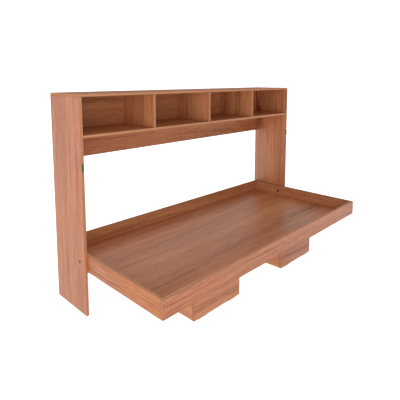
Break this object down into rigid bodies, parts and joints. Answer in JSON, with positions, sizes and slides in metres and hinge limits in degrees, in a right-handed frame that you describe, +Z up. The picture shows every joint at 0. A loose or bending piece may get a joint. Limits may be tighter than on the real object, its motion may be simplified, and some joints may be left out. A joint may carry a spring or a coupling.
{
  "type": "murphy wall bed",
  "caption": "Horizontal wall bed: a shelf cabinet with a bed tray that hangs on two pivot bolts, stands on box feet and folds up between the side panels.",
  "frame": {"origin": "on the floor, under the middle of the whole bed with its tray lowered", "axes": "+X runs along the bed to its right end, +Y points to the wall, +Z is up"},
  "size_m": [1.9806, 0.952, 1.218],
  "materials": {
    "wood_board": "reddish wood-print melamine, satin",
    "thin_board": "wood-print thin board, matt",
    "zinc_steel": "zinc plated",
    "dark_metal": "dark grey, satin",
    "bronze_metal": "dark bronze, satin",
    "brown_cap": "wood brown, matt",
    "black_plastic": "black, matt"
  },
  "bodies": {
    "cabinet": {"divider_center": "wood_board", "divider_left": "wood_board", "divider_right": "wood_board", "fold_stop_left": "wood_board", "fold_stop_right": "wood_board", "latch_screw_left": "dark_metal", "latch_screw_right": "dark_metal", "left_side_panel": "wood_board", "lower_rear_rail": "wood_board", "niche_back_panel": "thin_board", "pivot_bushing_left": "zinc_steel", "pivot_bushing_right": "zinc_steel", "rail_bracket_lower_left": "zinc_steel", "rail_bracket_lower_right": "zinc_steel", "rail_bracket_upper_left": "zinc_steel", "rail_bracket_upper_right": "zinc_steel", "right_side_panel": "wood_board", "shelf_panel": "wood_board", "top_panel": "wood_board", "upper_rear_rail": "wood_board", "wall_bracket_left": "zinc_steel", "wall_bracket_right": "zinc_steel"},
    "bed_tray": {"foot_bracket_left_inner": "zinc_steel", "foot_bracket_left_outer": "zinc_steel", "foot_bracket_right_inner": "zinc_steel", "foot_bracket_right_outer": "zinc_steel", "foot_left_front": "wood_board", "foot_left_inner": "wood_board", "foot_left_outer": "wood_board", "foot_left_rear": "wood_board", "foot_right_front": "wood_board", "foot_right_inner": "wood_board", "foot_right_outer": "wood_board", "foot_right_rear": "wood_board", "glide_left_front_inner": "black_plastic", "glide_left_front_outer": "black_plastic", "glide_left_rear_inner": "black_plastic", "glide_left_rear_outer": "black_plastic", "glide_right_front_inner": "black_plastic", "glide_right_front_outer": "black_plastic", "glide_right_rear_inner": "black_plastic", "glide_right_rear_outer": "black_plastic", "pivot_bolt_left": "zinc_steel", "pivot_bolt_right": "zinc_steel", "pivot_cap_left": "brown_cap", "pivot_cap_right": "brown_cap", "pivot_nut_left": "bronze_metal", "pivot_nut_right": "bronze_metal", "pivot_spacer_left": "black_plastic", "pivot_spacer_right": "black_plastic", "tray_base": "wood_board", "tray_front_wall": "wood_board", "tray_left_wall": "wood_board", "tray_rear_wall": "wood_board", "tray_right_wall": "wood_board"},
    "latch_left": {"latch_left": "dark_metal"},
    "latch_right": {"latch_right": "dark_metal"}
  },
  "joints": [
    {"name": "bed_fold", "type": "hinge", "parent": "cabinet", "child": "bed_tray", "pos_m": [0, 0.204, 0.298], "axis": [-1, 0, 0], "range_deg": [0, 90]},
    {"name": "latch_left_turn", "type": "hinge", "parent": "cabinet", "child": "latch_left", "pos_m": [-0.978, 0.1497, 0.82], "axis": [0, 1, 0], "range_deg": [0, 90]},
    {"name": "latch_right_turn", "type": "hinge", "parent": "cabinet", "child": "latch_right", "pos_m": [0.978, 0.1497, 0.82], "axis": [0, -1, 0], "range_deg": [0, 90]}
  ]
}
